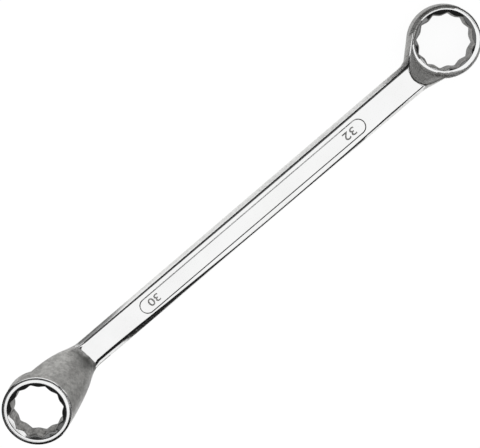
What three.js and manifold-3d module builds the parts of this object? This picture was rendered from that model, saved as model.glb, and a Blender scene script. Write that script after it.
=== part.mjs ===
// Double-ended ring spanner with deeply offset heads, one drop forging in chrome-vanadium steel.
// The forging is built in its five zones: the shank, two cranked necks and two rings.
// Neighbouring zones meet at flat planes, face to face, and together make the one solid piece.
// X runs from the smaller ring to the larger one, Y across the shank, Z along both ring axes.
// The smaller ring stands above the shank and the larger one below it. Lengths are millimetres.

import * as THREE from "three";
import { mergeVertices } from "three/addons/utils/BufferGeometryUtils.js";
import Module from "manifold-3d";

const wasm = await Module();
wasm.setup();

// Whole spanner
const RING_SPACING = 346; // between the two ring axes
const RING_OFFSET = 40; // from the shank's flat face out to the ring's outer face
const SMALL_SIZE = 30; // across flats of the nut that the smaller ring turns
const LARGE_SIZE = 32; // across flats of the nut that the larger ring turns

// Rings
const SMALL_RING_WALL = 5.2; // thinnest wall of each ring, between a bore corner and the outside
const LARGE_RING_WALL = 5.3;
const SMALL_RING_HEIGHT = 17;
const LARGE_RING_HEIGHT = 17.5;
const RING_EDGE_SHARE = 0.38; // rounding of the ring's outer edges, of its wall
const BORE_ENTRY_SHARE = 0.32; // how far the entry chamfer reaches into the wall
const CREST_BLUNT_SHARE = 0.012; // how far the bore's inner points are blunted, of their radius
const ENTRY_SLOPE = 1.75; // radial run of the entry chamfer for each length along the axis
const SMALL_BORE_TURN = 0; // degrees from the shank's direction to a bore corner
const LARGE_BORE_TURN = 15;

// Shank
const SHANK_THICKNESS = 9;
const SMALL_END_FACE_WIDTH = 16.6; // flat face of the shank where it meets each neck
const LARGE_END_FACE_WIDTH = 17;
const SIDE_BULGE = 2; // how far each side swells past the flat faces' edges
const EDGE_BREAK_SHARE = 0.05; // small bevel between flat face and side, of the thickness

// Long sunken panel on both flat faces
const PANEL_WIDTH = 10.4;
const PANEL_DEPTH = 0.5;
const PANEL_DRAFT_SHARE = 0.8; // run of the panel's sloping wall, of its depth
const PANEL_TO_SMALL_AXIS = 84.6; // from each ring axis to the near end of the panel
const PANEL_TO_LARGE_AXIS = 71.8;

// Necks
const OUTER_WALL_LEAN = 18.5; // degrees off the ring axis
const SCOOP_WALL_LEAN = 16; // degrees off the ring axis, on the side that faces it
const OUTER_FILLET_SHARE = 0.4; // tangent length of the fillet at the outer wall's foot, of the thickness
const SCOOP_EDGE_SHARE = 0.12; // the same for the rounded edge at the scooped wall's foot
const SMALL_SIDE_FILLET_SHARE = 0.6; // the same, added at the sides, where each neck begins to widen
const LARGE_SIDE_FILLET_SHARE = 0.4;
const FILLET_HANDLE_SHARE = 0.66; // fullness of these fillets
const SCOOP_SAG_SHARE = 0.5; // depth of the scoop's U-shaped edge, of the flat face's half width
const SMALL_FOOT_SAG_SHARE = 0.05; // the same for the foot of the outer wall, at each neck
const LARGE_FOOT_SAG_SHARE = 0.6;
const SMALL_NECK_WRAP = 74; // degrees to each side that a neck reaches round its ring
const LARGE_NECK_WRAP = 62;
const SMALL_NECK_SWELL = 2.5; // how far a neck's sides bow outwards
const LARGE_NECK_SWELL = 0.3;
const SWELL_PEAK_SHARE = 0.38; // how far up the neck they bow most
const SEAT_SHARE = 0.2; // how deep a neck's inner wall sinks into its ring, of the wall
const SEAT_INSET_SHARE = 0.06; // how far its outer wall ends inside the ring's edge, of that rounding
const NECK_ROOT_SHARE = 1; // straight stretch between shank and bend, of the thickness

// Facets
const ROUND_SEGMENTS = 96;
const EDGE_SEGMENTS = 4;
const FACE_SEGMENTS = 12;
const SIDE_SEGMENTS = 8;
const FILLET_SEGMENTS = 5;
const WALL_SEGMENTS = 10;
const PANEL_END_SEGMENTS = 16;
const HEXAGON_TURN = 60;
const STAR_POINTS = 12;

const rad = THREE.MathUtils.degToRad;
const lerp = THREE.MathUtils.lerp;
const halfThickness = SHANK_THICKNESS / 2;

// Closed manifold solid from any three.js geometry
function solidFrom(geometry) {
  const bare = geometry.clone();
  bare.deleteAttribute("normal");
  bare.deleteAttribute("uv");
  const merged = mergeVertices(bare);
  const index = merged.index.array;
  const triVerts = [];
  for (let i = 0; i < index.length; i += 3) {
    const [a, b, c] = [index[i], index[i + 1], index[i + 2]];
    if (a !== b && b !== c && c !== a) triVerts.push(a, b, c);
  }
  const data = {
    numProp: 3,
    vertProperties: merged.attributes.position.array,
    triVerts: new Uint32Array(triVerts),
  };
  const made = new wasm.Manifold(new wasm.Mesh(data));
  if (made.volume() > 0) return made;
  data.triVerts.reverse();
  return new wasm.Manifold(new wasm.Mesh(data));
}

// Named mesh from a manifold solid
function meshFrom(solid, name, material) {
  const { vertProperties, triVerts } = solid.getMesh();
  const geometry = new THREE.BufferGeometry();
  geometry.setAttribute("position", new THREE.BufferAttribute(vertProperties, 3));
  geometry.setIndex(new THREE.BufferAttribute(triVerts, 1));
  geometry.computeVertexNormals();
  const mesh = new THREE.Mesh(geometry, material);
  mesh.name = name;
  return mesh;
}

// Skin over a row of closed sections with equally many points, capped at both ends
function loft(sections) {
  const count = sections[0].length;
  const points = sections.flat();
  const index = [];
  for (let k = 0; k < sections.length - 1; k++) {
    for (let i = 0; i < count; i++) {
      const next = (i + 1) % count;
      const a = k * count + i;
      const b = k * count + next;
      index.push(a, b, b + count, a, b + count, a + count);
    }
  }
  const addCap = (section, offset, flipped) => {
    const middle = new THREE.Vector3();
    section.forEach((p) => middle.addScaledVector(p, 1 / count));
    const hub = points.push(middle) - 1;
    for (let i = 0; i < count; i++) {
      const a = offset + i;
      const b = offset + ((i + 1) % count);
      index.push(...(flipped ? [hub, a, b] : [hub, b, a]));
    }
  };
  addCap(sections[0], 0, false);
  addCap(sections.at(-1), (sections.length - 1) * count, true);
  const geometry = new THREE.BufferGeometry().setFromPoints(points);
  geometry.setIndex(index);
  return geometry;
}

// Solid of revolution about the Z axis
function turned(profile) {
  return new THREE.LatheGeometry(profile, ROUND_SEGMENTS).rotateX(Math.PI / 2);
}

// Places round a section: side from -1 to 1 across the width, level from 0 (scooped) to 1 (outer)
function sectionPlaces() {
  const edge = 2 * EDGE_BREAK_SHARE;
  const places = [];
  const run = (from, to, steps) => {
    for (let i = 0; i <= steps; i++) {
      const share = i / steps;
      places.push({
        side: lerp(from.side, to.side, share),
        level: lerp(from.level, to.level, share),
      });
    }
  };
  run({ side: edge - 1, level: 1 }, { side: 1 - edge, level: 1 }, FACE_SEGMENTS);
  run({ side: 1, level: 1 - edge / 2 }, { side: 1, level: edge / 2 }, SIDE_SEGMENTS);
  run({ side: 1 - edge, level: 0 }, { side: edge - 1, level: 0 }, FACE_SEGMENTS);
  run({ side: -1, level: edge / 2 }, { side: -1, level: 1 - edge / 2 }, SIDE_SEGMENTS);
  return places;
}
const PLACES = sectionPlaces();

// Half width of the shank at a level: flat face at both ends, swollen at mid thickness
function halfWidth(faceWidth, level) {
  return faceWidth / 2 + SIDE_BULGE * (1 - (2 * level - 1) ** 2);
}

// Sizes of one head, in its own frame: ring axis at the origin, shank towards +X, ring above
function headSizes({ size, wall, height, faceWidth, footSagShare, sideShare, ...own }) {
  const corner = size / 2 / Math.cos(rad(HEXAGON_TURN / 2));
  const crest = size / 2 / Math.cos(rad(HEXAGON_TURN / 4));
  const radius = corner + wall;
  const edge = wall * RING_EDGE_SHARE;
  const top = halfThickness + RING_OFFSET;
  const bottom = top - height;
  const seat = wall * SEAT_SHARE;
  const flatRadius = radius - edge;
  const outerFillet = SHANK_THICKNESS * OUTER_FILLET_SHARE;
  const scoopEdge = SHANK_THICKNESS * SCOOP_EDGE_SHARE;
  const sideFillet = SHANK_THICKNESS * sideShare;
  const outerFoot = radius + (RING_OFFSET - edge) * Math.tan(rad(OUTER_WALL_LEAN));
  const scoopRise = bottom + seat + halfThickness;
  const scoopFoot = flatRadius + scoopRise * Math.tan(rad(SCOOP_WALL_LEAN));
  const root = outerFoot + outerFillet + SHANK_THICKNESS * NECK_ROOT_SHARE;
  return {
    ...own,
    faceWidth,
    radius,
    corner,
    crest,
    wall,
    edge,
    top,
    bottom,
    seat,
    flatRadius,
    outerFillet,
    scoopEdge,
    sideFillet,
    outerFoot,
    scoopFoot,
    root,
    scoopSag: (faceWidth / 2) * SCOOP_SAG_SHARE,
    outerSag: (faceWidth / 2) * footSagShare,
  };
}

// Flat section across the shank, seen at any place along it
function flatSection(x, faceWidth) {
  return PLACES.map(({ side, level }) => {
    const z = lerp(-halfThickness, halfThickness, level);
    return new THREE.Vector3(x, side * halfWidth(faceWidth, level), z);
  });
}

// Skin of a neck: out of the shank, round the bend and up to the ring's outer wall
function neckSolid(head) {
  const knees = PLACES.map(({ side, level }) => {
    const scoop = head.scoopFoot - head.scoopSag * side ** 2;
    const outer = head.outerFoot - head.outerSag * side ** 2;
    const z = lerp(-halfThickness, halfThickness, level);
    return new THREE.Vector3(
      lerp(scoop, outer, level),
      side * halfWidth(head.faceWidth, level),
      z,
    );
  });
  const outerReach = head.radius - head.edge * SEAT_INSET_SHARE;
  const seats = PLACES.map(({ side, level }) => {
    const reach = lerp(head.flatRadius, outerReach, level);
    const angle = rad(head.wrap) * side;
    const z = lerp(head.bottom + head.seat, head.top - head.edge, level);
    return new THREE.Vector3(reach * Math.cos(angle), reach * Math.sin(angle), z);
  });
  const skew = Math.log(1 / 2) / Math.log(SWELL_PEAK_SHARE);
  const walls = knees.map((knee, i) => {
    const { side, level } = PLACES[i];
    const run = seats[i].clone().sub(knee);
    const swell = head.swell * side;
    const tangent = lerp(head.scoopEdge, head.outerFillet, level) + head.sideFillet * side ** 4;
    const foot = tangent / run.length();
    const pointAt = (share) => {
      const point = knee.clone().addScaledVector(run, share);
      point.y += swell * (1 - (2 * share ** skew - 1) ** 2);
      return point;
    };
    const start = knee.clone();
    start.x += tangent;
    const end = pointAt(foot);
    const rise = run.clone();
    rise.y += 4 * swell * skew * foot ** (skew - 1) * (1 - 2 * foot ** skew);
    const bend = new THREE.CubicBezierCurve3(
      start,
      start.clone().lerp(knee, FILLET_HANDLE_SHARE),
      end.clone().addScaledVector(rise, -foot * FILLET_HANDLE_SHARE),
      end,
    );
    return { bend, foot, pointAt };
  });
  const sections = [flatSection(head.root, head.faceWidth)];
  for (let k = 0; k <= FILLET_SEGMENTS; k++) {
    sections.push(walls.map(({ bend }) => bend.getPoint(k / FILLET_SEGMENTS)));
  }
  for (let k = 1; k <= WALL_SEGMENTS; k++) {
    const climb = k / WALL_SEGMENTS;
    sections.push(walls.map(({ foot, pointAt }) => pointAt(lerp(foot, 1, climb))));
  }
  return solidFrom(loft(sections));
}

// Disc that the ring is made from, with its outer edges rounded
function discSolid(head) {
  const { radius, edge, flatRadius, top, bottom } = head;
  const profile = [new THREE.Vector2(0, bottom)];
  for (let i = 0; i <= EDGE_SEGMENTS; i++) {
    const turn = (Math.PI / 2) * (i / EDGE_SEGMENTS);
    const r = flatRadius + edge * Math.sin(turn);
    profile.push(new THREE.Vector2(r, bottom + edge * (1 - Math.cos(turn))));
  }
  for (let i = 0; i <= EDGE_SEGMENTS; i++) {
    const turn = (Math.PI / 2) * (i / EDGE_SEGMENTS);
    const r = flatRadius + edge * Math.cos(turn);
    profile.push(new THREE.Vector2(r, top - edge * (1 - Math.sin(turn))));
  }
  profile.push(new THREE.Vector2(0, top));
  return solidFrom(turned(profile));
}

// Broached twelve-point bore: two hexagons turned against each other, opened by entry chamfers
function boreSolid(head) {
  const { corner, crest, wall, top, bottom, boreTurn } = head;
  const past = head.seat;
  const blunt = crest * (1 + CREST_BLUNT_SHARE);
  const entry = corner + wall * BORE_ENTRY_SHARE;
  const chamfer = (entry - blunt) / ENTRY_SLOPE;
  const mouth = entry + past * ENTRY_SLOPE;
  const funnel = turned([
    new THREE.Vector2(0, bottom - past),
    new THREE.Vector2(mouth, bottom - past),
    new THREE.Vector2(blunt, bottom + chamfer),
    new THREE.Vector2(blunt, top - chamfer),
    new THREE.Vector2(mouth, top + past),
    new THREE.Vector2(0, top + past),
  ]);
  const star = new THREE.Shape();
  const half = Math.PI / STAR_POINTS;
  for (let i = 0; i < 2 * STAR_POINTS; i++) {
    const r = i % 2 ? crest : corner;
    const angle = rad(boreTurn) + i * half;
    const [x, y] = [r * Math.cos(angle), r * Math.sin(angle)];
    if (i) star.lineTo(x, y);
    else star.moveTo(x, y);
  }
  star.closePath();
  const depth = top - bottom + 2 * past;
  const prism = new THREE.ExtrudeGeometry(star, { depth, bevelEnabled: false });
  prism.translate(0, 0, bottom - past);
  return solidFrom(prism).add(solidFrom(funnel));
}

// Ring and neck of one head, parted at the plane of the ring's inner face
function headSolids(head) {
  const skin = neckSolid(head);
  const reach = 2 * (head.root + head.radius);
  const upper = new THREE.BoxGeometry(reach, reach, reach);
  upper.translate(0, 0, head.bottom + reach / 2);
  const ringSide = solidFrom(upper);
  const ring = skin.intersect(ringSide).add(discSolid(head)).subtract(boreSolid(head));
  return { ring, neck: skin.subtract(ringSide) };
}

// Stadium-shaped outline of a panel at one height
function panelSection(from, to, width, z) {
  const points = [];
  const r = width / 2;
  const round = (x, start) => {
    for (let i = 0; i <= PANEL_END_SEGMENTS; i++) {
      const angle = start + Math.PI * (i / PANEL_END_SEGMENTS);
      points.push(new THREE.Vector3(x + r * Math.cos(angle), r * Math.sin(angle), z));
    }
  };
  round(to - r, -Math.PI / 2);
  round(from + r, Math.PI / 2);
  return points;
}

// Hollow of the sunken panel, with sloping walls, in the upper face of the shank
function panelHollow(from, to) {
  const slope = PANEL_DRAFT_SHARE * PANEL_DEPTH;
  const floor = halfThickness - PANEL_DEPTH;
  const clear = halfThickness + PANEL_DEPTH;
  const low = panelSection(from + slope, to - slope, PANEL_WIDTH - 2 * slope, floor);
  const high = panelSection(from - slope, to + slope, PANEL_WIDTH + 2 * slope, clear);
  return loft([low, high]);
}

const small = headSizes({
  size: SMALL_SIZE,
  wall: SMALL_RING_WALL,
  height: SMALL_RING_HEIGHT,
  faceWidth: SMALL_END_FACE_WIDTH,
  boreTurn: SMALL_BORE_TURN,
  footSagShare: SMALL_FOOT_SAG_SHARE,
  sideShare: SMALL_SIDE_FILLET_SHARE,
  wrap: SMALL_NECK_WRAP,
  swell: SMALL_NECK_SWELL,
});
const large = headSizes({
  size: LARGE_SIZE,
  wall: LARGE_RING_WALL,
  height: LARGE_RING_HEIGHT,
  faceWidth: LARGE_END_FACE_WIDTH,
  boreTurn: LARGE_BORE_TURN,
  footSagShare: LARGE_FOOT_SAG_SHARE,
  sideShare: LARGE_SIDE_FILLET_SHARE,
  wrap: LARGE_NECK_WRAP,
  swell: LARGE_NECK_SWELL,
});

// The ring axes stand so that the middle of the overall length is at X = 0
const smallAxis = (small.radius - large.radius - RING_SPACING) / 2;
const largeAxis = smallAxis + RING_SPACING;

// Shank between the two necks, with a panel on each flat face
function shankSolid() {
  const from = smallAxis + small.root;
  const to = largeAxis - large.root;
  const body = solidFrom(
    loft([flatSection(to, large.faceWidth), flatSection(from, small.faceWidth)]),
  );
  const upper = panelHollow(smallAxis + PANEL_TO_SMALL_AXIS, largeAxis - PANEL_TO_LARGE_AXIS);
  const lower = upper.clone().rotateX(Math.PI);
  return body.subtract(solidFrom(upper)).subtract(solidFrom(lower));
}

// Finishes
const finishes = {
  shank_polish: { color: 0xd9dadb, metalness: 1, roughness: 0.12 },
  neck_satin: { color: 0xa9a8a4, metalness: 1, roughness: 0.42 },
  ring_polish: { color: 0xd2d3d4, metalness: 1, roughness: 0.2 },
};
function finish(name) {
  const material = new THREE.MeshStandardMaterial(finishes[name]);
  material.name = name;
  return material;
}

// The larger head is the same form turned over end for end
const smallHead = headSolids(small);
const largeHead = headSolids(large);
const placeSmall = (mesh) => {
  mesh.position.x = smallAxis;
  return mesh;
};
const placeLarge = (mesh) => {
  mesh.position.x = largeAxis;
  mesh.rotation.y = Math.PI;
  return mesh;
};

const spanner = new THREE.Group();
spanner.name = "ring_spanner";
spanner.add(
  placeSmall(meshFrom(smallHead.ring, "ring_30", finish("ring_polish"))),
  placeSmall(meshFrom(smallHead.neck, "neck_30", finish("neck_satin"))),
  meshFrom(shankSolid(), "shank", finish("shank_polish")),
  placeLarge(meshFrom(largeHead.neck, "neck_32", finish("neck_satin"))),
  placeLarge(meshFrom(largeHead.ring, "ring_32", finish("ring_polish"))),
);

export default spanner;
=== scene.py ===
"""Looks of a double-ended ring spanner: polished faces, satin forging skin, broached bores, raised sizes.

Lengths are millimetres until a mesh is written, which turns them into metres.
X runs from the smaller ring to the larger one, Y across the shank, Z along both ring axes.
"""

import math

import bmesh
import bpy
from mathutils import Matrix, Vector


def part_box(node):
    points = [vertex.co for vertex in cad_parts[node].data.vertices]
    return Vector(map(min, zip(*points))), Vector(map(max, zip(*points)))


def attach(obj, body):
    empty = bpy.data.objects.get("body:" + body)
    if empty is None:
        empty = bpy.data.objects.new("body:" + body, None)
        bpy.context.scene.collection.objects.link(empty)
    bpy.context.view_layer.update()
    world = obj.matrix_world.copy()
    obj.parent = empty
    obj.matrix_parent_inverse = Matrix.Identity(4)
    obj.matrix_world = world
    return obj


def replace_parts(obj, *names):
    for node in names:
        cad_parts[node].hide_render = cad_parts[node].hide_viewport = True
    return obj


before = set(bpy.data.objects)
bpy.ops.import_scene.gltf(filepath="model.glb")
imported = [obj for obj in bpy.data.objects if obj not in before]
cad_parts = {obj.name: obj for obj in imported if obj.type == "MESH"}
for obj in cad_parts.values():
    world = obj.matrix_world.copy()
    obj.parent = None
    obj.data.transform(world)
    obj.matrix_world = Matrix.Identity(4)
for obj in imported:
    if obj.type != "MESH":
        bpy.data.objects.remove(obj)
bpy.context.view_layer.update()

MM = 0.001

# Shank
THICKNESS = 9.0
HALF = THICKNESS / 2
BULGE = 2.0  # of each flank at mid thickness
EDGE_SHARE = 0.05  # rounding of the plain edges, of the thickness and of the face
FLANK_FOOT = 0.15  # height at which a rolled flank turns upright, of the height where its roll ends

# Necks
OFFSET = 40.0  # from the shank's face to the ring's outer face
OUTER_LEAN = 18.5  # of the outer side, in degrees from the ring's axis
SCOOP_LEAN = 16.0  # of the inner side, which is the scoop
OUTER_FILLET = 0.4 * THICKNESS  # length of the bend's tangents
SCOOP_FILLET = 0.12 * THICKNESS
HANDLE = 0.66  # of the bend's curve, from its ends to the knee
SCOOP_SAG_SHARE = 0.5  # how much nearer the ring the scoop's foot lies at the sides, of half the face
SWELL_PEAK = 0.38  # how far up the neck its sides stand out most
SEAT_SHARE = 0.2  # how deep the neck reaches into the ring's inner face, of the ring's wall
SEAT_INSET_SHARE = 0.06  # how far the neck's outer side stays inside the ring's wall, of the rounded edge
ROOT = THICKNESS  # straight length between the shank and the bend

# Rings
RING_EDGE_SHARE = 0.38  # rounding of the outer edges, of the wall
BLUNT_SHARE = 0.012  # how far the bore's inward points are blunted, of their radius
CORNER_ROUND = math.radians(0.9)  # of the bore's corners
BLUNT_ROUND = 0.05  # of its blunted points
ENTRY_SLOPE = 1.75  # width of the entry chamfer, of its depth
LEAST_ENTRY = 0.55  # width that the flare leaves of the chamfer
FLARE_DEPTH = 2.6  # below the chamfer
MOUTH_ROUND = 0.22  # where the bore meets the entry chamfer
BRIM_ROUND = 0.3  # where the chamfer meets the flat annulus
# Where the grinding left the large ring's inner face satin, and where it ground both faces wider, as angles
UNGROUND_AT = math.radians(45)
UNGROUND_SPREAD = (0.72, 0.86)
WIDE_AT = math.radians(240)
WIDE_SPREAD = (0.55, 0.9)
WIDE_BY = 1.5

# Panel
PANEL_FROM_SMALL = 84.6  # from the ring's axis to the panel's end
PANEL_FROM_LARGE = 71.8
PANEL_WIDTH = 10.4
PANEL_DEPTH = 0.5
PANEL_RUN = 0.4  # of its sloping side
PANEL_SHIFT = -0.45  # across the shank
# From the flat face down to the floor: how far outside the panel's outline, how deep, and how worn
PANEL_LIP = [
    (0.55, 0.0, 0.0),
    (0.16, 0.0, 0.3),
    (0.06, 0.025, 1.0),
    (-0.03, 0.1, 1.0),
    (0.06 - PANEL_RUN, PANEL_DEPTH - 0.11, 0.0),
    (-0.04 - PANEL_RUN, PANEL_DEPTH - 0.035, 0.0),
    (-0.2 - PANEL_RUN, PANEL_DEPTH, 0.0),
    (-0.6 - PANEL_RUN, PANEL_DEPTH, 0.0),
]
MARK_HEIGHT = 0.32  # of the raised numbers, above the panel's floor
MARK_SUNK = 0.1
MARK_WELD = 0.001

# Where the upper face begins and ends to roll over its edge: (x, start, end), the last two across the shank
EDGE_PLUS_Y = [
    (-125, 7.3, 9.45),
    (-92, 7.1, 9.25),
    (-40, 6.85, 8.95),
    (15, 6.6, 8.6),
    (75, 6.55, 8.6),
    (115, 6.74, 8.75),
    (125, 6.8, 8.8),
]
EDGE_MINUS_Y = [
    (-125, 5.75, 9.45),
    (-114, 5.8, 9.5),
    (-100, 6.1, 9.7),
    (-86, 6.5, 9.9),
    (-70, 7.0, 10.2),
    (-40, 7.65, 10.35),
    (5, 8.45, 10.35),
    (75, 8.15, 10.25),
    (100, 7.65, 9.5),
    (115, 7.25, 8.95),
    (125, 7.2, 8.8),
]

# Mesh fineness
FACE_STEPS = 44
ROUND_STEPS = 8
SIDE_STEPS = 10
BEND_STEPS = 22
WALL_STEPS = 56
BAR_STEPS = 72
ARC_STEPS = 9
STRAIGHT_STEPS = 4
BORE_STEPS = 5
END_STEPS = 20
# Rows of a neck between which the shank's rolled edges turn into plain ones
PLAIN_ROWS = (3, BEND_STEPS + 14)
# Columns of a ring's mesh, in degrees from each corner of the bore
COLUMNS = [0, 0.35, 0.8, 1.4, 2.2, 3.4, 5, 7, 9, 10.8, 12, 12.7, 13.3, 13.9, 14.5]

# The meshes carry layers for the finishes. "polish" says how far inside the polish a point lies, and is
# negative outside it. The other layers are shares. "edge" and "bore" say how much of an edge and of the
# broached bore is at the point; the layer of painted shade says how much painted shade darkens the skin
# there, and the layer of painted highlight how much painted highlight lightens it, rubbing it smoother where
# it is full.
FULL_POLISH = 4.0
FACE_POLISH = 1.4  # at the brim of the shank's flat faces
GROUND_POLISH = 1.0  # on a ring's chamfers and annulus
ROUNDING_POLISH = 2.9  # where the annulus turns into the rounded edge
MOUTH_POLISH = 0.3  # on the chamfer's side of the bore's mouth, and as much less than none on the bore's
BORE_POLISH = -1.0
NO_POLISH = -9.0
# Painted shade on the shank's +Y flank, which begins this far from the part's middle towards the smaller ring
FLANK_PAINTED_SHADE = 0.65
FLANK_PAINTED_SHADE_REACH = (92, 116)


def lerp(a, b, share):
    return a + (b - a) * share


def smooth(value, low, high):
    """0 before low and 1 past high, or the other way round where high is the smaller."""
    t = min(1.0, max(0.0, (value - low) / (high - low)))
    return t * t * (3 - 2 * t)


class Head:
    """Sizes of one end, in its own frame: ring axis at the origin, shank towards +X, ring above."""

    def __init__(
        self,
        node,
        flipped,
        size,
        wall,
        height,
        turn,
        entry,
        land,
        drift,
        drift_at,
        flare,
        face,
        foot_sag,
        side_fillet,
        wrap,
        swell,
        polish_end,
        polish_slant,
    ):
        lo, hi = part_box(node)
        self.flipped = flipped
        self.radius = (hi.y - lo.y) / 2 / MM
        self.axis = hi.x / MM - self.radius if flipped else lo.x / MM + self.radius
        self.top = HALF + OFFSET
        self.bottom = self.top - height
        self.flat = size / 2
        self.crest = size / 2 / math.cos(math.radians(15))
        self.turn = math.radians(turn)
        self.edge = wall * RING_EDGE_SHARE
        self.flat_radius = self.radius - self.edge
        self.entry = entry
        self.land = land
        self.drift = drift
        self.drift_at = math.radians(drift_at)
        self.flare = flare
        self.face = face
        self.seat = wall * SEAT_SHARE
        self.outer_foot = self.radius + (OFFSET - self.edge) * math.tan(math.radians(OUTER_LEAN))
        rise = self.bottom + self.seat + HALF
        self.scoop_foot = self.flat_radius + rise * math.tan(math.radians(SCOOP_LEAN))
        self.root = self.outer_foot + OUTER_FILLET + ROOT
        self.outer_sag = face / 2 * foot_sag
        self.scoop_sag = face / 2 * SCOOP_SAG_SHARE
        self.side_fillet = THICKNESS * side_fillet
        self.wrap = math.radians(wrap)
        self.swell = swell
        self.polish_end = polish_end
        self.polish_slant = polish_slant

    def place(self, p):
        """A point of the head's frame in the part's frame, in metres."""
        x, y, z = p
        if self.flipped:
            return ((self.axis - x) * MM, y * MM, -z * MM)
        return ((self.axis + x) * MM, y * MM, z * MM)


SMALL = Head(
    "ring_30",
    flipped=False,
    size=30,  # across flats
    wall=5.2,
    height=17.0,
    turn=0,  # of the bore's outline
    entry=19.05,  # radius where the flat annulus begins
    land=20.7,  # and where it ends
    drift=0.1,  # how far the annulus is ground off centre
    drift_at=0,  # and to which side
    flare=0.45,  # of the bore, at its mouth
    face=16.6,  # width of the shank's flat face
    foot_sag=0.05,  # how much nearer the ring the neck's outer foot lies at the sides, of half the face
    side_fillet=0.6,  # how much longer the bend is at the sides, of the thickness
    wrap=74,  # half of the arc on which the neck meets the ring
    swell=2.5,  # how far the neck's sides stand out
    polish_end=2.3,  # where the shank's polish ends, from the outer foot
    polish_slant=0.6,  # how much nearer the foot that is at +Y, and further from it at -Y
)
LARGE = Head(
    "ring_32",
    flipped=True,
    size=32,
    wall=5.3,
    height=17.5,
    turn=15,
    entry=19.85,
    land=20.6,
    drift=0.95,
    drift_at=135,
    flare=0.9,
    face=17.0,
    foot_sag=0.6,
    side_fillet=0.4,
    wrap=62,
    swell=0.3,
    polish_end=2.8,
    polish_slant=0.0,
)
SCOOP_POLISH_END = 0.6  # where the shank's polish ends on the inner side, from the scoop's foot


# Meshes


def tidy_mesh(mesh, weld=0.0):
    """Faces turned outwards, and loose seams welded."""
    work = bmesh.new()
    work.from_mesh(mesh)
    if weld:
        bmesh.ops.remove_doubles(work, verts=work.verts[:], dist=weld)
    bmesh.ops.recalc_face_normals(work, faces=work.faces[:])
    work.to_mesh(mesh)
    work.free()
    mesh.update()


def mesh_piece(name, mesh, layers, material, sharp):
    """Object on the spanner's one body, with layers for the finishes. Edges over sharp degrees stay sharp."""
    for key, values in layers.items():
        layer = mesh.attributes.new(key, "FLOAT", "POINT")
        layer.data.foreach_set("value", values)
    mesh.polygons.foreach_set("use_smooth", [True] * len(mesh.polygons))
    mesh.set_sharp_from_angle(angle=math.radians(sharp))
    mesh.materials.clear()
    mesh.materials.append(material)
    piece = bpy.data.objects.new(name, mesh)
    bpy.context.scene.collection.objects.link(piece)
    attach(piece, "root")
    return piece


def zone_piece(name, node, points, faces, layers, material, sharp):
    """Piece from points in metres that stands for one zone of the forging."""
    mesh = bpy.data.meshes.new(name)
    mesh.from_pydata(points, [], faces)
    tidy_mesh(mesh)
    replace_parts(mesh_piece(name, mesh, layers, material, sharp), node)


def skin_faces(rows, count, flipped, close_rows=False):
    """Quads between rows of points, each row a closed loop."""
    faces = []
    for k in range(rows if close_rows else rows - 1):
        below = k * count
        above = (k + 1) % rows * count
        for i in range(count):
            j = (i + 1) % count
            quad = (below + i, below + j, above + j, above + i)
            faces.append(quad[::-1] if flipped else quad)
    return faces


def half_width(face, level):
    """Half of the shank's width at a level, from 0 at one flat face to 1 at the other."""
    return face / 2 + BULGE * (1 - (2 * level - 1) ** 2)


def table_at(table, x):
    """Smooth curve through the rows of a table, the first column being x."""
    k = 0
    while k < len(table) - 2 and x > table[k + 1][0]:
        k += 1
    (xa, *a), (xb, *b) = table[k], table[k + 1]
    before = table[max(k - 1, 0)]
    after = table[min(k + 2, len(table) - 1)]
    span = xb - xa
    t = min(1.0, max(0.0, (x - xa) / span))
    values = []
    for i, (va, vb) in enumerate(zip(a, b), 1):
        slope_a = (vb - before[i]) / (xb - before[0])
        slope_b = (after[i] - va) / (after[0] - xa)
        bow = t * (1 - t) ** 2 * slope_a - t * t * (1 - t) * slope_b
        values.append(lerp(va, vb, t * t * (3 - 2 * t)) + bow * span)
    return values


def curve(a, b, c, steps):
    """Points of a quadratic curve from a to c with the corner b."""
    points = []
    for i in range(steps + 1):
        t = i / steps
        s = 1 - t
        points.append(tuple(s * s * u + 2 * s * t * v + t * t * w for u, v, w in zip(a, b, c)))
    return points


def half_flank(x, face, table):
    """Side of the shank from a flat face to mid thickness: (y, z, polish, edge). Without a table, plain."""
    if table:
        width = half_width(face, 0.5)
        start, end = table_at(table, x)
        corner = lerp(start, end, 0.5)
        low = HALF * (width - end) / ((1 - FLANK_FOOT) * (end - corner) + width - end)
        rolled = curve((start, HALF), (corner, HALF), (end, low), ROUND_STEPS)
        side = curve((end, low), (width, FLANK_FOOT * low), (width, 0.0), SIDE_STEPS)[1:]
    else:
        low = HALF * (1 - 2 * EDGE_SHARE)
        start = face / 2 * (1 - 2 * EDGE_SHARE)
        end = half_width(face, 1 - EDGE_SHARE)
        rolled = curve((start, HALF), (face / 2, HALF), (end, low), ROUND_STEPS)
        heights = [lerp(low, 0, i / SIDE_STEPS) for i in range(1, SIDE_STEPS + 1)]
        side = [(half_width(face, (z + HALF) / THICKNESS), z) for z in heights]
    out = []
    for i, (y, z) in enumerate(rolled):
        share = i / ROUND_STEPS
        out.append((y, z, FACE_POLISH * (1 - share), math.sin(math.pi * share)))
    out.extend((y, z, z - low, 0.0) for y, z in side)
    return out


def section(x, face, plain=False):
    """Round the shank's section at x, from the upper face over +Y and below to -Y: (y, z, polish, edge)."""
    under = half_flank(x, face, None)
    rims = []
    for table in (EDGE_PLUS_Y, EDGE_MINUS_Y):
        upper = half_flank(x, face, None if plain else table)
        lower = [(y, -z, polish, edge) for y, z, polish, edge in under[-2::-1]]
        rims.append(upper + lower)
    plus, minus = rims
    places = []
    for i in range(1, FACE_STEPS):
        y = lerp(-minus[0][0], plus[0][0], i / FACE_STEPS)
        places.append((y, HALF, FACE_POLISH + min(y + minus[0][0], plus[0][0] - y), 0.0))
    places.extend(plus)
    flat = plus[-1][0]
    for i in range(1, FACE_STEPS):
        y = lerp(flat, -flat, i / FACE_STEPS)
        places.append((y, -HALF, FACE_POLISH + flat - abs(y), 0.0))
    places.extend((-y, z, polish, edge) for y, z, polish, edge in minus[::-1])
    return places


# Necks


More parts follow.
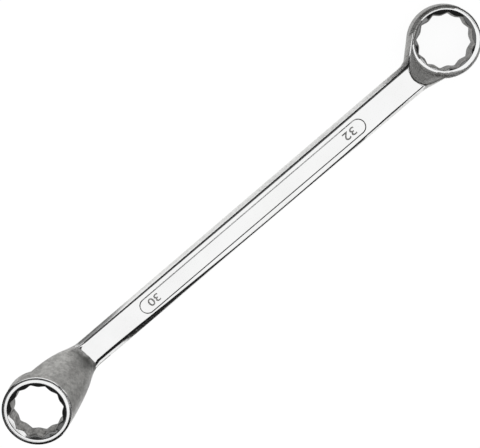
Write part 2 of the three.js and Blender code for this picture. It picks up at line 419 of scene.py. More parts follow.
def neck_shape(head):
    """Function that gives the neck's point at a place of the section and a row, and where its polish ends."""
    skew = math.log(0.5) / math.log(SWELL_PEAK)
    outer_reach = head.radius - head.edge * SEAT_INSET_SHARE

    def point(side, level, k):
        scoop = head.scoop_foot - head.scoop_sag * side * side
        outer = head.outer_foot - head.outer_sag * side * side
        z = lerp(-HALF, HALF, level)
        knee = Vector((lerp(scoop, outer, level), side * half_width(head.face, level), z))
        ends_at = lerp(scoop + SCOOP_POLISH_END, outer + head.polish_end - head.polish_slant * side, level)
        if k == 0:
            return Vector((head.root, knee.y, z)), ends_at
        reach = lerp(head.flat_radius, outer_reach, level)
        angle = head.wrap * side
        seat_z = lerp(head.bottom + head.seat, head.top - head.edge, level)
        run = Vector((reach * math.cos(angle), reach * math.sin(angle), seat_z)) - knee
        tangent = lerp(SCOOP_FILLET, OUTER_FILLET, level) + head.side_fillet * side**4
        foot = tangent / run.length
        swell = head.swell * side

        def point_at(share):
            place = knee + run * share
            place.y += swell * (1 - (2 * share**skew - 1) ** 2)
            return place

        if k > BEND_STEPS + 1:
            return point_at(lerp(foot, 1, (k - BEND_STEPS - 1) / WALL_STEPS)), ends_at
        start = knee + Vector((tangent, 0, 0))
        end = point_at(foot)
        rise = run.copy()
        rise.y += 4 * swell * skew * foot ** (skew - 1) * (1 - 2 * foot**skew)
        b = start.lerp(knee, HANDLE)
        c = end - rise * (foot * HANDLE)
        t = (k - 1) / BEND_STEPS
        s = 1 - t
        return start * s**3 + b * (3 * s * s * t) + c * (3 * s * t * t) + end * t**3, ends_at

    return point


# Bright lines on the edges of the scoop side, as polish: at +Y, and on the smaller neck at -Y too
SCOOP_EDGE_AT = 0.9
SCOOP_EDGE_POLISH = 0.55
SCOOP_EDGE_FADE = 9.0
ROUNDED_EDGE_POLISH = 0.4
ROUNDED_EDGE_LOSS = 0.06


def neck_polish(head, side, level, flank_polish, edge, past_end):
    """How far inside the polish a point lies that is past_end beyond the polish's end, towards the shank."""
    line = NO_POLISH
    if level < 0.5 and side > SCOOP_EDGE_AT:
        line = SCOOP_EDGE_POLISH - SCOOP_EDGE_FADE * (level - EDGE_SHARE)
    elif level < 0.5 and edge and not head.flipped:
        line = ROUNDED_EDGE_POLISH * edge - ROUNDED_EDGE_LOSS
    return max(line, min(flank_polish, past_end))


# Painted shade on the larger neck: all of its scoop, and more so along the polish's end and the -Y edge
SCOOP_PAINTED_SHADE = 0.35
SCOOP_PAINTED_SHADE_LEVEL = (0.2, 0.02)
SCOOP_END_REACH = (-2.6, -0.3)
SCOOP_EDGE_REACH = (0.8, 0.95)
# Painted shade in a patch at the smaller neck's outer foot, and in a streak up from it: ranges across,
# towards -Y, and up
PATCH_PAINTED_SHADE = 0.66
PATCH_FROM = (-2.5, 2.5)
PATCH_TO = (6.3, 8.0)
PATCH_TO_RISE = (0.8, 2.5)
PATCH_RISE = (4.2, 1.2)
STREAK_PAINTED_SHADE = 0.33
STREAK_FROM = (-1, 3)
STREAK_TO = (5.0, 9.0)
STREAK_RISE = (17, 3)
AT_SHANK = (-1.5, 1.5)  # where the flanks begin, past the polish's end


def neck_painted_shade(head, p, side, level, past_end):
    """Share of painted shade at a point of the neck."""
    if head.flipped:
        close = max(smooth(past_end, *SCOOP_END_REACH), smooth(-side, *SCOOP_EDGE_REACH))
        return lerp(SCOOP_PAINTED_SHADE, 1, close) * smooth(level, *SCOOP_PAINTED_SHADE_LEVEL)
    painted_shade = 0.0
    if level > 0.5:
        rise = p.z - HALF
        patch = smooth(-p.y, *PATCH_FROM) * (1 - smooth(-p.y, *PATCH_TO) * smooth(rise, *PATCH_TO_RISE))
        streak = smooth(-p.y, *STREAK_FROM) * (1 - smooth(-p.y, *STREAK_TO)) * smooth(rise, *STREAK_RISE)
        painted_shade = max(PATCH_PAINTED_SHADE * patch * smooth(rise, *PATCH_RISE), STREAK_PAINTED_SHADE * streak)
    return max(painted_shade, FLANK_PAINTED_SHADE * smooth(past_end, *AT_SHANK)) if p.y > 0 else painted_shade


# Painted highlight bands along the neck's two sides, and at the smaller neck's outer foot
PLUS_Y_PAINTED_HIGHLIGHT = 0.12
PLUS_Y_REACH = (0.6, 0.92)
MINUS_Y_PAINTED_HIGHLIGHT = 0.8
MINUS_Y_REACH = (0.5, 0.85)
FOOT_PAINTED_HIGHLIGHT = 0.55
FOOT_RUN = (-7, 0)
FOOT_FROM = (-1, 3)


def neck_rub_and_painted_highlight(head, p, side, level, past_end):
    """Share of painted highlight at a point of the neck; where it is full, near the shank, the skin is rubbed
    smoother too.
    """
    if p.y > 0:
        painted_highlight_band = PLUS_Y_PAINTED_HIGHLIGHT * smooth(side, *PLUS_Y_REACH)
    else:
        painted_highlight_band = MINUS_Y_PAINTED_HIGHLIGHT * smooth(-side, *MINUS_Y_REACH)
    rub_and_painted_highlight = max(painted_highlight_band, smooth(past_end, *AT_SHANK))
    if level > 0.5 and not head.flipped:
        rub_and_painted_highlight = max(rub_and_painted_highlight, FOOT_PAINTED_HIGHLIGHT * smooth(past_end, *FOOT_RUN) * smooth(p.y, *FOOT_FROM))
    return rub_and_painted_highlight


def neck_piece(name, node, head, material):
    """Neck out of the shank, round the bend and up into the ring's wall."""
    root_x = head.axis - head.root if head.flipped else head.axis + head.root
    up = -1 if head.flipped else 1

    def shares(places):
        out = []
        for y, z, polish, edge in places:
            level = (up * z + HALF) / THICKNESS
            out.append((y / half_width(head.face, level), level, polish, edge))
        return out

    at_root = shares(section(root_x, head.face))
    further = shares(section(root_x, head.face, plain=True))
    shape = neck_shape(head)
    count = len(at_root)
    rows = BEND_STEPS + WALL_STEPS + 2
    points, polish, edges, painted_shades, rubs_and_painted_highlights = [], [], [], [], []
    for k in range(rows):
        share = smooth(k, *PLAIN_ROWS)
        for (side_a, level_a, flank_polish, edge), (side_b, level_b, _, _) in zip(at_root, further):
            side = lerp(side_a, side_b, share)
            level = lerp(level_a, level_b, share)
            p, ends_at = shape(side, level, k)
            past_end = p.x - ends_at
            points.append(head.place(p))
            polish.append(neck_polish(head, side, level, flank_polish, edge, past_end))
            edges.append(edge)
            painted_shades.append(neck_painted_shade(head, p, side, level, past_end))
            rubs_and_painted_highlights.append(neck_rub_and_painted_highlight(head, p, side, level, past_end))
    faces = skin_faces(rows, count, True)
    faces.append(tuple(range(count)))
    # The upper end lies in the ring's wall: a curved strip between its inner and outer side
    last = (rows - 1) * count
    middle = count - ROUND_STEPS - SIDE_STEPS - 1
    pairs = [(last + (middle + j) % count, last + (middle - j) % count) for j in range(count // 2 + 1)]
    for (a, b), (c, d) in zip(pairs, pairs[1:]):
        faces.append(tuple(dict.fromkeys((a, c, d, b)))[::-1])
    layers = {"polish": polish, "edge": edges, "painted_shade": painted_shades, "rub_and_painted_highlight": rubs_and_painted_highlights}
    zone_piece(name, node, points, faces, layers, material, sharp=50)


# Rings


def bore_radius(head, angle):
    """Twelve-point outline with slightly rounded corners and blunted points."""
    period = math.radians(30)
    away = (angle - head.turn + period / 2) % period - period / 2
    away = math.sqrt(away * away + CORNER_ROUND**2)
    r = head.flat / math.cos(period - min(away, period / 2))
    blunt = head.crest * (1 + BLUNT_SHARE)
    return (r + blunt + math.sqrt((r - blunt) ** 2 + BLUNT_ROUND**2)) / 2


# Polish on the satin side of the large ring's inner face, at the annulus's two brims
UNGROUND_ENTRY = -1.2
UNGROUND_LAND = -0.6
# The large ring's rounding is polished towards the shank and away from it, and satin on its two sides
SIDE_POLISH = 0.05
POLISHED_SPREAD = (0.62, 0.85)


def unground_share(head, angle):
    """How satin the large ring's inner face is at an angle."""
    return smooth(math.cos(angle - UNGROUND_AT), *UNGROUND_SPREAD) if head.flipped else 0.0


def half_profile(head, r_bore, angle, up):
    """Ring's profile from mid bore round one face to mid outer wall: (r, z, polish, edge, bore)."""
    face = head.top if up else head.bottom
    inward = -1 if up else 1
    middle = (head.top + head.bottom) / 2
    drift = head.drift * math.cos(angle - head.drift_at)
    entry = head.entry + drift
    land = head.land + drift
    rounding = ROUNDING_POLISH
    if head.flipped:
        land += WIDE_BY * smooth(math.cos(angle - WIDE_AT), *WIDE_SPREAD)
        rounding = lerp(SIDE_POLISH, rounding, smooth(math.cos(angle) ** 2, *POLISHED_SPREAD))
    unground = 0.0 if up else unground_share(head, angle)
    at_entry = lerp(GROUND_POLISH, UNGROUND_ENTRY, unground)
    at_land = lerp(GROUND_POLISH, UNGROUND_LAND, unground)
    mouth = r_bore + max(0.0, min(head.flare, entry - LEAST_ENTRY - r_bore))
    drop = (entry - mouth) / ENTRY_SLOPE
    mouth_z = face + inward * drop
    flare_z = mouth_z + inward * FLARE_DEPTH
    length = math.hypot(entry - mouth, drop)
    along = ((entry - mouth) / length, -inward * drop / length)
    out = []

    def straight(a, b, polish_a, polish_b, bore):
        for i in range(1, STRAIGHT_STEPS):
            t = i / STRAIGHT_STEPS
            out.append((lerp(a[0], b[0], t), lerp(a[1], b[1], t), lerp(polish_a, polish_b, t), 0.0, bore))

    def rounded(a, corner, b, polish_a, polish_b, bore_a):
        for i, (r, z) in enumerate(curve(a, corner, b, STRAIGHT_STEPS)):
            t = i / STRAIGHT_STEPS
            out.append((r, z, lerp(polish_a, polish_b, t), math.sin(math.pi * t), lerp(bore_a, 0.0, t)))

    # The bore's wall and its flare
    for i in range(BORE_STEPS + 1):
        out.append((r_bore, lerp(middle, flare_z, i / BORE_STEPS), BORE_POLISH, 0.0, 1.0))
    straight((r_bore, flare_z), (mouth, mouth_z), BORE_POLISH, BORE_POLISH, 1.0)
    # The entry chamfer, between its two roundings
    before = 1 - MOUTH_ROUND / FLARE_DEPTH
    a = (lerp(r_bore, mouth, before), lerp(flare_z, mouth_z, before))
    b = (mouth + along[0] * MOUTH_ROUND, mouth_z + along[1] * MOUTH_ROUND)
    c = (entry - along[0] * BRIM_ROUND, face - along[1] * BRIM_ROUND)
    d = (entry + BRIM_ROUND, face)
    rounded(a, (mouth, mouth_z), b, -MOUTH_POLISH, MOUTH_POLISH, 1.0)
    straight(b, c, GROUND_POLISH, GROUND_POLISH, 0.0)
    rounded(c, (entry, face), d, at_entry, at_entry, 0.0)
    # The annulus, the rounded edge and the outer wall
    straight(d, (land, face), at_entry, at_land, 0.0)
    brim = min(rounding, ROUNDING_POLISH - GROUND_POLISH + at_land)
    for i in range(ARC_STEPS + 1):
        turn = math.pi / 2 * i / ARC_STEPS
        r = lerp(land, head.radius, math.sin(turn))
        z = face + inward * head.edge * (1 - math.cos(turn))
        out.append((r, z, brim - head.edge * turn, math.sin(2 * turn), 0.0))
    start = face + inward * head.edge
    for i in range(1, STRAIGHT_STEPS + 1):
        z = lerp(start, middle, i / STRAIGHT_STEPS)
        out.append((head.radius, z, rounding - head.edge * math.pi / 2 - abs(z - start), 0.0, 0.0))
    return out


# Painted highlight on the large ring's satin skin: a line round the satin side, and the side towards -Y
RING_PAINTED_HIGHLIGHT = 0.85
PAINTED_HIGHLIGHT_LINE_AT = 22.75
PAINTED_HIGHLIGHT_LINE_FADE = (0.55, 0.2)
PAINTED_HIGHLIGHT_SPREAD = (0.5, 0.8)


def ring_piece(name, node, head, material):
    """Ring with its twelve-point bore, entry chamfers, flat polished faces and rounded outer edges."""
    angles = []
    for k in range(12):
        angles.extend(30 * k + a for a in COLUMNS)
        angles.append(30 * k + 15)
        angles.extend(30 * k + 30 - a for a in reversed(COLUMNS[1:]))
    points, polish, edges, bores, rubs_and_painted_highlights = [], [], [], [], []
    for degrees in angles:
        angle = math.radians(degrees) + head.turn
        r_bore = bore_radius(head, angle)
        profile = half_profile(head, r_bore, angle, True)
        profile += half_profile(head, r_bore, angle, False)[::-1][1:-1]
        side = smooth(-math.sin(angle), *PAINTED_HIGHLIGHT_SPREAD)
        for r, z, shine, edge, bore in profile:
            points.append(head.place((r * math.cos(angle), r * math.sin(angle), z)))
            polish.append(shine)
            edges.append(edge)
            bores.append(bore)
            line = unground_share(head, angle) * smooth(abs(r - PAINTED_HIGHLIGHT_LINE_AT), *PAINTED_HIGHLIGHT_LINE_FADE)
            # Painted highlight on the large ring's satin skin: the line and the -Y side
            rubs_and_painted_highlights.append(RING_PAINTED_HIGHLIGHT * max(line, side) if head.flipped else 0.0)
    faces = skin_faces(len(angles), len(profile), True, close_rows=True)
    layers = {"polish": polish, "edge": edges, "bore": bores, "rub_and_painted_highlight": rubs_and_painted_highlights}
    zone_piece(name, node, points, faces, layers, material, sharp=60)


# Shank


def stadium(from_x, to_x, width):
    """Outline of the panel: half circle at the larger end, then at the smaller one."""
    r = width / 2
    outline = []
    for centre, start in ((to_x - r, -math.pi / 2), (from_x + r, math.pi / 2)):
        for i in range(END_STEPS + 1):
            angle = start + math.pi * i / END_STEPS
            outline.append((centre + r * math.cos(angle), r * math.sin(angle)))
    return outline


def sink_panel(add, faces, up):
    """One sunken panel, from its lip down to its floor. Returns its outermost loop."""
    panel_from = SMALL.axis + PANEL_FROM_SMALL
    panel_to = LARGE.axis - PANEL_FROM_LARGE
    loops = []
    for grow, depth, edge in PANEL_LIP:
        outline = stadium(panel_from - grow, panel_to + grow, PANEL_WIDTH + 2 * grow)
        z = up * (HALF - depth)
        loops.append([add(x, y + PANEL_SHIFT, z, FULL_POLISH, edge) for x, y in outline])
    count = len(loops[0])
    for a, b in zip(loops, loops[1:]):
        for i in range(count):
            j = (i + 1) % count
            quad = (a[i], a[j], b[j], b[i])
            faces.append(quad if up > 0 else quad[::-1])
    # The floor, in strips across between the two long sides
    floor = loops[-1]
    half = count // 2
    pairs = [(floor[(half - 1 - i) % count], floor[(half + i) % count]) for i in range(half)]
    for (a, b), (c, d) in zip(pairs, pairs[1:]):
        quad = (a, b, d, c)
        faces.append(quad if up > 0 else quad[::-1])
    return loops[0]


def bar_piece(name, node, material):
    """Shank between the necks, with its rounded edges and a sunken panel on each face."""
    from_x = SMALL.axis + SMALL.root
    to_x = LARGE.axis - LARGE.root
    points, polish, edges, painted_shades, faces = [], [], [], [], []

    def add(x, y, z, shine, edge):
        points.append((x * MM, y * MM, z * MM))
        polish.append(shine)
        edges.append(edge)
        # Painted shade darkens the +Y flank's skin towards the smaller ring
        painted_shades.append(FLANK_PAINTED_SHADE * smooth(-x, *FLANK_PAINTED_SHADE_REACH) if shine < 0 < y else 0.0)
        return len(points) - 1

    # The skin of each flank, in rows from the flat of the upper face to the flat of the lower one
    flat_count = FACE_STEPS - 1
    rim_count = 2 * (ROUND_STEPS + SIDE_STEPS) + 1
    flanks = {}
    for sign in (1, -1):
        first = flat_count if sign > 0 else 2 * flat_count + rim_count
        rows = []
        for k in range(BAR_STEPS + 1):
            share = k / BAR_STEPS
            x = lerp(from_x, to_x, share)
            around = section(x, lerp(SMALL.face, LARGE.face, share))
            flank = around[first : first + rim_count]
            rows.append([add(x, *place) for place in (flank if sign > 0 else flank[::-1])])
        for a, b in zip(rows, rows[1:]):
            for i in range(len(a) - 1):
                faces.append((a[i], b[i], b[i + 1], a[i + 1]))
        flanks[sign] = rows
    middles = {up: [add(x, 0.0, up * HALF, FULL_POLISH, 0.0) for x in (from_x, to_x)] for up in (1, -1)}
    for up in (1, -1):
        # One flat land above and one below the panel's long axis, which meet at its two ends
        land = sink_panel(add, faces, up)
        count = len(land)
        half = count // 2
        quarter = half // 2
        high = [land[i] for i in range(quarter, quarter + half + 1)]
        low = [land[i % count] for i in range(quarter + half, quarter + count + 1)]
        near, far = middles[up]
        for sign, inner in ((1, high), (-1, low)):
            rail = [row[0 if up > 0 else -1] for row in flanks[sign]]
            polygon = inner + ([near, *rail, far] if sign > 0 else [far, *rail[::-1], near])
            faces.append(tuple(polygon if up < 0 else polygon[::-1]))
    # The two end caps
    for end in (0, -1):
        loop = flanks[1][end] + [middles[-1][end]] + flanks[-1][end][::-1] + [middles[1][end]]
        faces.append(tuple(loop if end == 0 else loop[::-1]))
    layers = {"polish": polish, "edge": edges, "painted_shade": painted_shades}
    zone_piece(name, node, points, faces, layers, material, sharp=40)


def mark_piece(name, text, x_range, y_range, material):
    """Plain raised size number in the panel, upright as seen from the +Y side."""
    letters = bpy.data.curves.new(name, "FONT")
    letters.body = text
    letters.size = 1.0
    letters.extrude = 0.02
    letters.offset = -0.012
    letters.bevel_depth = 0.018
    letters.bevel_resolution = 2
    letters.resolution_u = 8
    source = bpy.data.objects.new(name + "_outline", letters)
    bpy.context.scene.collection.objects.link(source)
    bpy.context.view_layer.update()
    graph = bpy.context.evaluated_depsgraph_get()
    mesh = bpy.data.meshes.new_from_object(source.evaluated_get(graph))
    bpy.data.objects.remove(source)
    co = [v.co.copy() for v in mesh.vertices]
    lo = [min(c[i] for c in co) for i in range(3)]
    hi = [max(c[i] for c in co) for i in range(3)]
    floor = HALF - PANEL_DEPTH
    spans = (x_range[::-1], y_range[::-1], (floor - MARK_SUNK, floor + MARK_HEIGHT))
    for v, c in zip(mesh.vertices, co):
        v.co = [lerp(a, b, (c[i] - lo[i]) / (hi[i] - lo[i])) * MM for i, (a, b) in enumerate(spans)]
    tidy_mesh(mesh, weld=MARK_WELD * MM)
    mesh.name = name
    layers = {"polish": [-FULL_POLISH] * len(mesh.vertices)}
    mesh_piece(name, mesh, layers, material, sharp=50)


# Finishes


class Nodes:
    """Small helper that adds nodes to a material and links them."""

    def __init__(self, name):
        self.material = bpy.data.materials.new(name)
        self.material.use_nodes = True
        self.tree = self.material.node_tree
        self.bsdf = self.tree.nodes["Principled BSDF"]

    def add(self, kind, **values):
        node = self.tree.nodes.new(kind)
        for key, value in values.items():
            setattr(node, key, value)
        return node

    def feed(self, socket, value):
        if isinstance(value, bpy.types.NodeSocket):
            self.tree.links.new(value, socket)
        else:
            socket.default_value = value

    def math(self, operation, a, b, clamp=False):
        node = self.add("ShaderNodeMath", operation=operation, use_clamp=clamp)
        self.feed(node.inputs[0], a)
        self.feed(node.inputs[1], b)
        return node.outputs[0]

    def sum(self, *parts):
        """Sum of values, each times its share."""
        first, *others = [self.math("MULTIPLY", value, share) for value, share in parts]
        for other in others:
            first = self.math("ADD", first, other)
        return first

    def ramp(self, value, low, high, to_low=0.0, to_high=1.0):
        node = self.add("ShaderNodeMapRange")
        for socket, v in zip(node.inputs, (value, low, high, to_low, to_high)):
            self.feed(socket, v)
        return node.outputs[0]

    def mix(self, share, a, b):
        node = self.add("ShaderNodeMix", data_type="FLOAT")
        self.feed(node.inputs[0], share)
        self.feed(node.inputs[2], a)
        self.feed(node.inputs[3], b)
        return node.outputs[0]

    def mix_color(self, share, a, b):
        node = self.add("ShaderNodeMix", data_type="RGBA")
        self.feed(node.inputs[0], share)
        self.feed(node.inputs[6], a)
        self.feed(node.inputs[7], b)
        return node.outputs[2]

    def place(self, scale=(1, 1, 1), location=(0, 0, 0)):
        node = self.add("ShaderNodeMapping")
        self.feed(node.inputs["Vector"], self.add("ShaderNodeTexCoord").outputs["Object"])
        node.inputs["Location"].default_value = location
        node.inputs["Scale"].default_value = scale
        return node.outputs[0]

    def noise(self, vector, scale, detail, roughness=0.55):
        node = self.add("ShaderNodeTexNoise")
        self.feed(node.inputs["Vector"], vector)
        node.inputs["Scale"].default_value = scale
        node.inputs["Detail"].default_value = detail
        node.inputs["Roughness"].default_value = roughness
        return node.outputs[0]

    def layer(self, name):
        return self.add("ShaderNodeAttribute", attribute_name=name).outputs["Fac"]

    def bump(self, height, distance, strength, normal=None):
        node = self.add("ShaderNodeBump")
        node.inputs["Strength"].default_value = strength
        node.inputs["Distance"].default_value = distance
        self.feed(node.inputs["Height"], height)
        if normal is not None:
            self.feed(node.inputs["Normal"], normal)
        return node.outputs[0]

    def radius_from(self, axis_x):
        node = self.add("ShaderNodeVectorMath", operation="LENGTH")
        self.feed(node.inputs[0], self.place((1, 1, 0), (-axis_x, 0, 0)))
        return node.outputs["Value"]


WHITE = (1, 1, 1, 1)
BLACK = (0, 0, 0, 1)
POLISH = (0.86, 0.862, 0.862, 1)
POLISH_WORN = (0.80, 0.80, 0.796, 1)
SATIN = (0.73, 0.725, 0.705, 1)
SATIN_DARK = (0.38, 0.376, 0.364, 1)
# The larger head's satin, darkened as painted shade
SATIN_PAINTED_SHADE = (0.45, 0.447, 0.436, 1)
SATIN_DARK_PAINTED_SHADE = (0.25, 0.248, 0.24, 1)
# Colour of the painted highlight
PAINTED_HIGHLIGHT = (0.9, 0.898, 0.89, 1)
# Colour of the painted shade
PAINTED_SHADE = (0.17, 0.168, 0.162, 1)
FLANK = (0.82, 0.82, 0.812, 1)
FLANK_DARK = (0.66, 0.66, 0.652, 1)
BORE = (0.42, 0.416, 0.405, 1)
BORE_DARK = (0.12, 0.117, 0.112, 1)
BORE_TINT = (0.5, 0.5, 0.5, 1)

# Scales of the textures, per metre. Polish lines and broach marks are long one way: (x, y, z)
CLOUD_SCALE = 45
SWELL_SCALE = 70
MOTTLE_SCALE = 300
WEAR_SCALE = 320
STAIN_SCALE = 420
PIT_SCALE = 700
RAGGED_SCALE = 900
GRAIN_SCALE = 2600
SHANK_LINES = (25, 2600, 2600)
RING_LINES = 4200
BROACH_MARKS = (2600, 2600, 30)
# Ranges of roughness
POLISH_ROUGH = (0.055, 0.13)
RUBBED_ROUGH = (0.24, 0.37)
BORE_ROUGH = (0.2, 0.36)
RAGGED = 0.12  # how far the polish's edge wanders, in millimetres
FINE_BUMP = 0.06 * MM
SWELL_BUMP = 0.08 * MM


def polish_lines(n, ring_axis):
    """Fine lines of the polishing: lengthwise on the shank, round the axis on a ring."""
    if ring_axis is None:
        return n.noise(n.place(SHANK_LINES), scale=1.0, detail=4.0, roughness=0.7)
    radial = n.add("ShaderNodeCombineXYZ")
    n.feed(radial.inputs[0], n.math("MULTIPLY", n.radius_from(ring_axis), RING_LINES))
    return n.noise(radial.outputs[0], scale=1.0, detail=3.0, roughness=0.7)


def polish_look(n, lines, clouds):
    """Colour, roughness and height of the polish: scratched by its lines, and worn along the edges."""
    worn = n.math("MULTIPLY", n.layer("edge"), n.ramp(n.noise(n.place(), WEAR_SCALE, 4.0), 0.45, 0.7))
    scratched = n.ramp(lines, 0.42, 0.72, *POLISH_ROUGH)
    color = n.mix_color(n.sum((clouds, 0.5), (worn, 0.5)), POLISH, POLISH_WORN)
    roughness = n.sum((scratched, 1.0), (clouds, 0.035), (worn, 0.1))
    return color, roughness, n.math("MULTIPLY", lines, 0.035)


def satin_look(n, clouds, satin, satin_dark, rough):
    """Colour, roughness and height of the forging skin: pitted and mottled, lightened by painted highlight
    and darkened by painted shade, and rubbed smoother where the highlight is full.
    """
    grain = n.noise(n.place(), GRAIN_SCALE, detail=4.0, roughness=0.65)
    pits = n.noise(n.place(), PIT_SCALE, detail=3.0, roughness=0.6)
    mottle = n.ramp(n.noise(n.place(), MOTTLE_SCALE, detail=4.0, roughness=0.7), 0.4, 0.6)
    rub_and_painted_highlight = n.layer("rub_and_painted_highlight")
    shade = n.sum((clouds, 0.2), (n.ramp(pits, 0.35, 0.75), 0.25), (mottle, 0.55))
    color = n.mix_color(shade, satin, satin_dark)
    # Painted highlight lightens the skin, and next painted shade darkens it
    color = n.mix_color(n.math("MULTIPLY", rub_and_painted_highlight, n.ramp(mottle, 0, 1, 0.8, 0.6)), color, PAINTED_HIGHLIGHT)
    painted_shade_share = n.math("MULTIPLY", n.layer("painted_shade"), n.ramp(mottle, 0, 1, 0.85, 1.1), clamp=True)
    color = n.mix_color(painted_shade_share, color, PAINTED_SHADE)
    roughness = n.ramp(pits, 0.3, 0.7, rough - 0.06, rough + 0.07)
    roughness = n.mix(n.ramp(rub_and_painted_highlight, 0.85, 1.0), roughness, n.ramp(pits, 0.3, 0.7, *RUBBED_ROUGH))
    return color, roughness, n.sum((grain, 0.55), (pits, 0.7))


def bore_look(n):
    """Colour, roughness and height of the bore's wall: stained, with broach marks along the axis."""
    broach = n.noise(n.place(BROACH_MARKS), scale=1.0, detail=3.0, roughness=0.7)
    stains = n.ramp(n.noise(n.place((1, 1, 0.6)), STAIN_SCALE, detail=4.0, roughness=0.65), 0.38, 0.62)
    shade = n.sum((n.ramp(broach, 0.35, 0.65), 0.4), (stains, 0.6))
    roughness = n.ramp(broach, 0.3, 0.7, *BORE_ROUGH)
    return n.mix_color(shade, BORE, BORE_DARK), roughness, n.math("MULTIPLY", broach, 0.5)


def forged_chrome(name, satin, satin_dark, rough, ring_axis=None, blend=0.1):
    """Chrome over steel: polished where the layer 'polish' is above zero, satin forging skin below.

    The two run into each other over blend millimetres on both sides of zero.
    """
    n = Nodes(name)
    ragged = n.ramp(n.noise(n.place(), RAGGED_SCALE, detail=2.0), 0.3, 0.7, -RAGGED, RAGGED)
    polished = n.ramp(n.math("ADD", n.layer("polish"), ragged), -blend, blend)
    clouds = n.ramp(n.noise(n.place(), CLOUD_SCALE, detail=4.0), 0.3, 0.7)
    polish_color, polish_rough, polish_height = polish_look(n, polish_lines(n, ring_axis), clouds)
    color, roughness, height = satin_look(n, clouds, satin, satin_dark, rough)
    if ring_axis is not None:
        bore = n.layer("bore")
        bore_color, bore_rough, bore_height = bore_look(n)
        color = n.mix_color(bore, color, bore_color)
        roughness = n.mix(bore, roughness, bore_rough)
        height = n.mix(bore, height, bore_height)
        n.feed(n.bsdf.inputs["Specular Tint"], n.mix_color(bore, WHITE, BORE_TINT))
    n.feed(n.bsdf.inputs["Base Color"], n.mix_color(polished, color, polish_color))
    n.feed(n.bsdf.inputs["Roughness"], n.mix(polished, roughness, polish_rough))
    n.bsdf.inputs["Metallic"].default_value = 1.0
    fine = n.bump(n.mix(polished, height, polish_height), FINE_BUMP, strength=0.8)
    swell = n.noise(n.place((0.45, 1, 1)), SWELL_SCALE, detail=1.0)
    n.feed(n.bsdf.inputs["Normal"], n.bump(swell, SWELL_BUMP, strength=0.35, normal=fine))
    return n.material


shank_finish = forged_chrome("shank_polish", FLANK, FLANK_DARK, rough=0.3, blend=0.5)
neck_30_finish = forged_chrome("neck_satin_30", SATIN, SATIN_DARK, rough=0.6)
# The larger head's neck and ring take the satin darkened as painted shade
neck_32_finish = forged_chrome("neck_satin_32", SATIN_PAINTED_SHADE, SATIN_DARK_PAINTED_SHADE, rough=0.55)
ring_30_finish = forged_chrome("ring_polish_30", SATIN, SATIN_DARK, rough=0.48, ring_axis=SMALL.axis * MM)
ring_32_finish = forged_chrome("ring_polish_32", SATIN_PAINTED_SHADE, SATIN_DARK_PAINTED_SHADE, rough=0.55, ring_axis=LARGE.axis * MM)

ring_piece("head_30_ring", "ring_30", SMALL, ring_30_finish)
neck_piece("head_30_neck", "neck_30", SMALL, neck_30_finish)
bar_piece("bar", "shank", shank_finish)
neck_piece("head_32_neck", "neck_32", LARGE, neck_32_finish)
ring_piece("head_32_ring", "ring_32", LARGE, ring_32_finish)
mark_piece("size_mark_30", "30", (-82.3, -73.6), (-2.9, 2.4), neck_30_finish)
mark_piece("size_mark_32", "32", (84.1, 93.1), (-3.2, 2.2), neck_32_finish)


# Stage

FLOOR_Z = -(HALF + OFFSET + 0.05) * MM
FLOOR_SPAN = 8.0  # metres, half of its side
FLOOR_LIGHT = 0.92
FLOOR_GREY = (0.1, 0.1, 0.1, 1)
WORLD_LIGHT = 1.08
SCREEN_RADIUS = 2.2  # metres
SCREEN_LEVELS = (-2, 10, 20, 30, 42, 52, 64)  # elevations as seen from the spanner
SCREEN_STEPS = 64
SCREEN_LIGHT = 0.014
CARD_Z = FLOOR_Z + MM / 2
CARD_REACH = 2300.0
CARD_STEPS = 24
HOLE_REACH = 78.0
# Cards that lie on the floor and leave it white near the spanner: name, light, arcs and strips. An arc
# goes round a ring's axis from one angle to another, HOLE_REACH to CARD_REACH away from it. A strip is
# (side, near edge, x where it begins, lean there, x where it ends, lean there), a lean being how far
# that end moves along x for each length outwards.
FLOOR_CARDS = [
    (
        "dark_card",
        0.016,
        [(SMALL.axis, 108, 254), (LARGE.axis, -40, 90)],
        [(1, HOLE_REACH, 130, 0, LARGE.axis, 0), (-1, 50.0, -124, -0.31, 92, 0), (-1, 125.0, 92, 0, 128, 0)],
    ),
    ("grey_floor_card", 0.3, [], [(1, 50.0, -190, -0.325, -112, -0.31)]),
]
# Slanted strips that hang round the spanner, for the rings' chamfers, edges and bores to mirror: name,
# azimuths, elevations of the lower and upper edge, how far both rise from one end to the other, and light
HUNG_RADIUS = 0.96 * SCREEN_RADIUS
HUNG_STEPS = 8
HUNG_CARDS = [
    ("lamp_over_small_ring", (-62, 27), (35.5, 48.5), 12, 1.1),
    ("grey_card_over_small_ring", (27, 104), (43, 58), -12, 0.24),
    ("low_card_over_small_ring", (104, 125), (35.5, 43), -6, 0.34),
    ("lamp_over_large_ring", (-14, 46), (24, 29.5), 8.5, 0.6),
    ("low_card_over_large_ring", (-82, -35), (18, 27), 0, 0.28),
    ("grey_card", (128, 205), (28, 46), 0, 0.15),
]


def emitter(name, strength, diffuse=BLACK):
    """Matt material that gives off white light."""
    material = bpy.data.materials.new(name)
    material.use_nodes = True
    bsdf = material.node_tree.nodes["Principled BSDF"]
    bsdf.inputs["Base Color"].default_value = diffuse
    bsdf.inputs["Roughness"].default_value = 0.9
    bsdf.inputs["Specular IOR Level"].default_value = 0.0
    bsdf.inputs["Emission Color"].default_value = WHITE
    bsdf.inputs["Emission Strength"].default_value = strength
    return material


def stage_mesh(name, points, faces, material):
    mesh = bpy.data.meshes.new(name)
    mesh.from_pydata(points, [], faces)
    mesh.materials.append(material)
    thing = bpy.data.objects.new(name, mesh)
    bpy.context.scene.collection.objects.link(thing)
    return thing


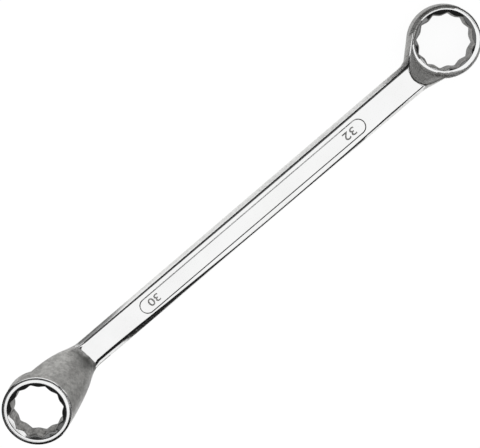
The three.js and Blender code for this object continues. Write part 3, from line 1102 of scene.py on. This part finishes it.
def card(name, points, faces, strength):
    """A studio card: it shows in polished metal only, and throws no shadow."""
    thing = stage_mesh(name, points, faces, emitter(name, strength))
    thing.visible_camera = False
    thing.visible_diffuse = False
    thing.visible_shadow = False
    thing.visible_transmission = False
    thing.visible_volume_scatter = False


def floor_card(name, strength, arcs, strips):
    """One of FLOOR_CARDS."""
    points, faces = [], []
    for axis, from_turn, to_turn in arcs:
        for i in range(CARD_STEPS + 1):
            turn = math.radians(lerp(from_turn, to_turn, i / CARD_STEPS))
            for reach in (HOLE_REACH, CARD_REACH):
                points.append(((axis + reach * math.cos(turn)) * MM, reach * math.sin(turn) * MM, CARD_Z))
            if i:
                k = len(points) - 4
                faces.append((k, k + 1, k + 3, k + 2))
    for side, near, from_x, from_lean, to_x, to_lean in strips:
        k = len(points)
        run = CARD_REACH - near
        corners = [(from_x, near), (to_x, near)]
        corners += [(to_x + to_lean * run, CARD_REACH), (from_x + from_lean * run, CARD_REACH)]
        points.extend((x * MM, side * y * MM, CARD_Z) for x, y in corners)
        faces.append((k, k + 1, k + 2, k + 3))
    card(name, points, faces, strength)


def around_at(elevation, turn, radius):
    """Point at that distance round the spanner, seen from its middle at an elevation in degrees."""
    return (radius * math.cos(turn), radius * math.sin(turn), math.tan(math.radians(elevation)) * radius)


def hung_card(name, azimuths, elevations, rise, strength):
    """One of HUNG_CARDS."""
    points = []
    for elevation in elevations:
        for i in range(HUNG_STEPS + 1):
            turn = math.radians(lerp(*azimuths, i / HUNG_STEPS))
            points.append(around_at(elevation + rise * i / HUNG_STEPS, turn, HUNG_RADIUS))
    faces = [(i, i + 1, i + HUNG_STEPS + 2, i + HUNG_STEPS + 1) for i in range(HUNG_STEPS)]
    card(name, points, faces, strength)


signs = ((-1, -1), (1, -1), (1, 1), (-1, 1))
floor_corners = [(sx * FLOOR_SPAN, sy * FLOOR_SPAN, FLOOR_Z) for sx, sy in signs]
stage_mesh("floor", floor_corners, [(0, 1, 2, 3)], emitter("floor_white", FLOOR_LIGHT, FLOOR_GREY))
for values in FLOOR_CARDS:
    floor_card(*values)
turns = [2 * math.pi * i / SCREEN_STEPS for i in range(SCREEN_STEPS)]
screen_points = [around_at(elevation, turn, SCREEN_RADIUS) for elevation in SCREEN_LEVELS for turn in turns]
card("screen", screen_points, skin_faces(len(SCREEN_LEVELS), SCREEN_STEPS, False), SCREEN_LIGHT)
for values in HUNG_CARDS:
    hung_card(*values)

world = bpy.data.worlds.new("studio")
bpy.context.scene.world = world
world.use_nodes = True
world.node_tree.nodes["Background"].inputs["Color"].default_value = WHITE
world.node_tree.nodes["Background"].inputs["Strength"].default_value = WORLD_LIGHT

# Camera, where the star outlines of both bores put it
EYE = Vector((128.84, 125.79, 835.39))
AIM = Vector((-2.16, 1.18, 4.5))
ROLL = -0.72839
SENSOR = 36.0
LENS = 99.18
back = (EYE - AIM).normalized()
right = Vector((0, 1, 0)).cross(back).normalized()
above = back.cross(right)
turned_right = right * math.cos(ROLL) + above * math.sin(ROLL)
turned_up = above * math.cos(ROLL) - right * math.sin(ROLL)
camera = bpy.data.objects.new("camera", bpy.data.cameras.new("camera"))
bpy.context.scene.collection.objects.link(camera)
turned = Matrix((turned_right, turned_up, back)).transposed().to_4x4()
camera.matrix_world = Matrix.Translation(EYE * MM) @ turned
camera.data.sensor_width = SENSOR
camera.data.lens = LENS
camera.data.clip_start = 0.01
camera.data.clip_end = 50.0
bpy.context.scene.camera = camera

bpy.context.scene.view_settings.view_transform = "Standard"
